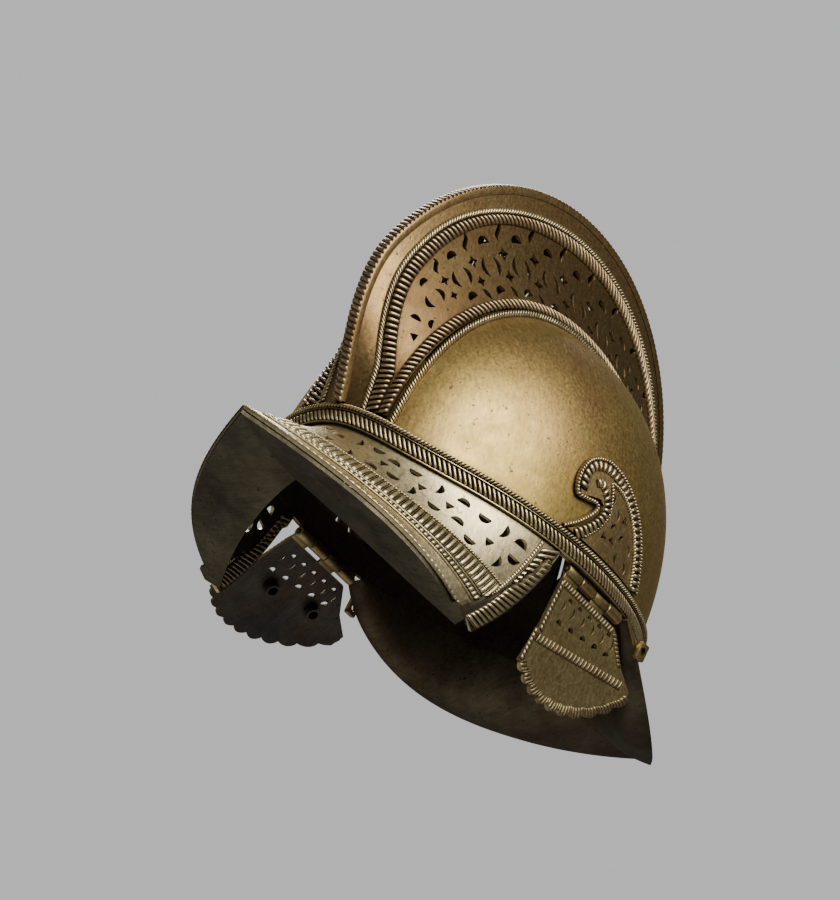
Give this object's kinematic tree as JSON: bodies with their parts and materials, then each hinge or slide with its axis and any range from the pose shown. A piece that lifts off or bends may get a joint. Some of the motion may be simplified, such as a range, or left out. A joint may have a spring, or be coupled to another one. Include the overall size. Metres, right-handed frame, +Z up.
{
  "type": "morion helmet",
  "caption": "Brass morion helmet with a tall pierced comb, pointed pierced peak, pointed neck guard and hinged scalloped cheek pieces.",
  "frame": {"origin": "middle of the head opening, at the height of the skull's lower edge above the ears, where a head carries the helmet", "axes": "+X to the wearer's left, -Y to the front, +Z up"},
  "size_m": [0.2155, 0.3474, 0.2416],
  "materials": {
    "olive_brass": "aged yellow-olive cast and beaten brass, dark in the hollows, worn bright on the edges",
    "coppery_brass": "aged brass with a coppery brown patina",
    "dark_brass": "dark brown-olive patina, brushed, dull"
  },
  "bodies": {
    "root": {"skull": "olive_brass", "brow_band": "olive_brass", "peak": "olive_brass", "scroll_left": "olive_brass", "scroll_right": "olive_brass", "knuckle_front_left": "olive_brass", "knuckle_rear_left": "olive_brass", "knuckle_front_right": "olive_brass", "knuckle_rear_right": "olive_brass", "tab_left": "olive_brass", "tab_right": "olive_brass", "comb_left": "coppery_brass", "comb_right": "coppery_brass", "crest_edge": "coppery_brass", "neck_guard": "dark_brass", "peak_flange": "dark_brass", "hinge_pin_left": "dark_brass", "hinge_pin_right": "dark_brass"},
    "cheek_left": {"cheek_left": "olive_brass"},
    "cheek_right": {"cheek_right": "olive_brass"}
  },
  "joints": [
    {"name": "cheek_left_hinge", "type": "hinge", "parent": "root", "child": "cheek_left", "pos_m": [0.0836, 0.0105, -0.0056], "axis": [0, -1, 0], "range_deg": [-20, 100]},
    {"name": "cheek_right_hinge", "type": "hinge", "parent": "root", "child": "cheek_right", "pos_m": [-0.0836, 0.0105, -0.0056], "axis": [0, 1, 0], "range_deg": [-62, 58]}
  ]
}
